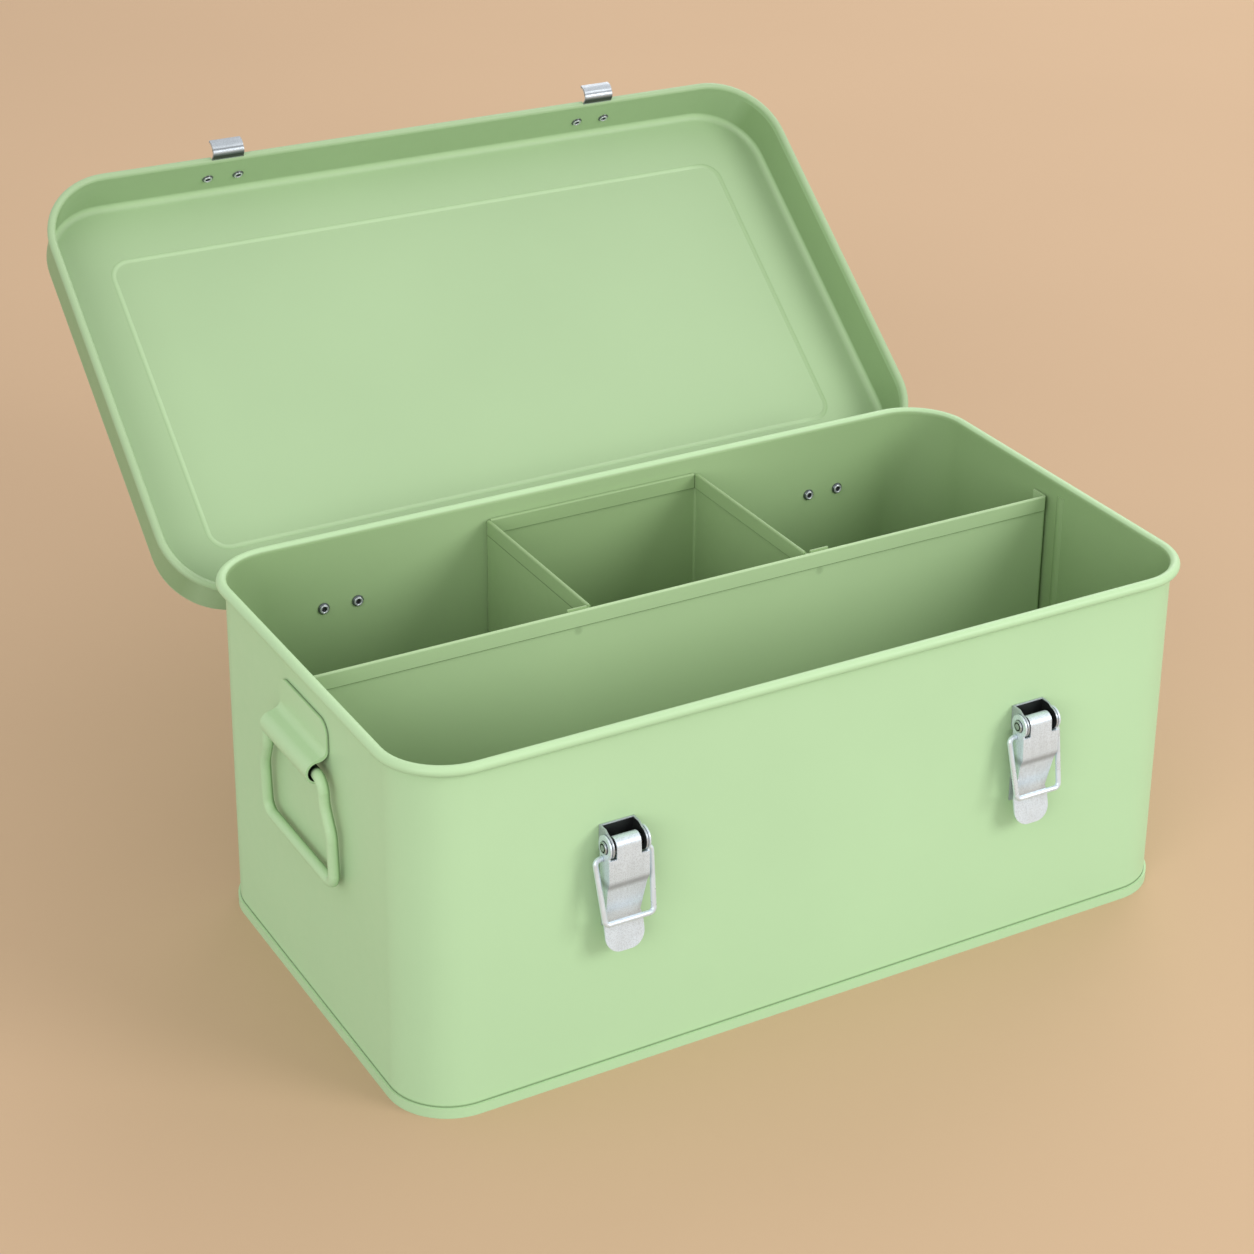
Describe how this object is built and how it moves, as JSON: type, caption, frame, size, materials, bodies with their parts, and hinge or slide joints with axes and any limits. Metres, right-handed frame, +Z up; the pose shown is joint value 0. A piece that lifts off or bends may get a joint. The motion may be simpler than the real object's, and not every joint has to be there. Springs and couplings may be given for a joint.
{
  "type": "garden seed organizer box",
  "caption": "Sheet-steel seed tin with a hinged lid that opens past upright, a fixed divider insert, draw latches and drop handles.",
  "frame": {"origin": "on the floor below the middle of the box", "axes": "+X to the right, -Y to the front with the latches, +Z up; the lid is open on its stop"},
  "size_m": [0.3592, 0.3741, 0.2586],
  "materials": {
    "body_paint": "satin powder coat",
    "lid_paint": "satin powder coat",
    "divider_paint": "satin powder coat",
    "handle_paint": "satin powder coat",
    "hinge_steel": "bright zinc plate",
    "latch_steel": "bright nickel plate",
    "pin_steel": "bright zinc plate",
    "rivet_steel": "bright zinc plate"
  },
  "bodies": {
    "box": {"body_shell": "body_paint", "base_pan": "body_paint", "main_divider": "divider_paint", "rear_divider": "divider_paint", "hinge_body_leaf_left": "hinge_steel", "hinge_body_leaf_right": "hinge_steel", "hinge_pin_left": "pin_steel", "hinge_pin_right": "pin_steel", "hinge_body_rivets": "rivet_steel", "latch_base_left": "latch_steel", "latch_base_right": "latch_steel", "latch_pin_left": "pin_steel", "latch_pin_right": "pin_steel", "latch_rivets": "rivet_steel", "handle_plate_left": "handle_paint", "handle_plate_right": "handle_paint"},
    "lid": {"lid_shell": "lid_paint", "hinge_lid_leaf_left": "hinge_steel", "hinge_lid_leaf_right": "hinge_steel", "hinge_lid_rivets": "rivet_steel", "catch_plate_left": "latch_steel", "catch_plate_right": "latch_steel", "catch_rivets": "rivet_steel"},
    "lever_left": {"latch_lever_left": "latch_steel"},
    "lever_right": {"latch_lever_right": "latch_steel"},
    "bail_left": {"latch_bail_left": "latch_steel"},
    "bail_right": {"latch_bail_right": "latch_steel"},
    "handle_left": {"handle_bail_left": "handle_paint"},
    "handle_right": {"handle_bail_right": "handle_paint"}
  },
  "joints": [
    {"name": "lid_hinge", "type": "hinge", "parent": "box", "child": "lid", "pos_m": [0, 0.1012, 0.1239], "axis": [-1, 0, 0], "range_deg": [-141, 0]},
    {"name": "latch_lever_left_pivot", "type": "hinge", "parent": "box", "child": "lever_left", "pos_m": [-0.0905, -0.0995, 0.1005], "axis": [-1, 0, 0], "range_deg": [0, 130]},
    {"name": "latch_bail_left_pivot", "type": "hinge", "parent": "lever_left", "child": "bail_left", "pos_m": [-0.0905, -0.0981, 0.0953], "axis": [1, 0, 0], "range_deg": [-155.23, 0]},
    {"name": "handle_left_swing", "type": "hinge", "parent": "box", "child": "handle_left", "pos_m": [-0.175, -0.0023, 0.1126], "axis": [0, 1, 0], "range_deg": [0, 140]},
    {"name": "latch_lever_right_pivot", "type": "hinge", "parent": "box", "child": "lever_right", "pos_m": [0.0905, -0.0995, 0.1005], "axis": [-1, 0, 0], "range_deg": [0, 130]},
    {"name": "latch_bail_right_pivot", "type": "hinge", "parent": "lever_right", "child": "bail_right", "pos_m": [0.0905, -0.0981, 0.0953], "axis": [1, 0, 0], "range_deg": [-155.23, 0]},
    {"name": "handle_right_swing", "type": "hinge", "parent": "box", "child": "handle_right", "pos_m": [0.175, -0.0023, 0.1126], "axis": [0, -1, 0], "range_deg": [0, 140]}
  ]
}
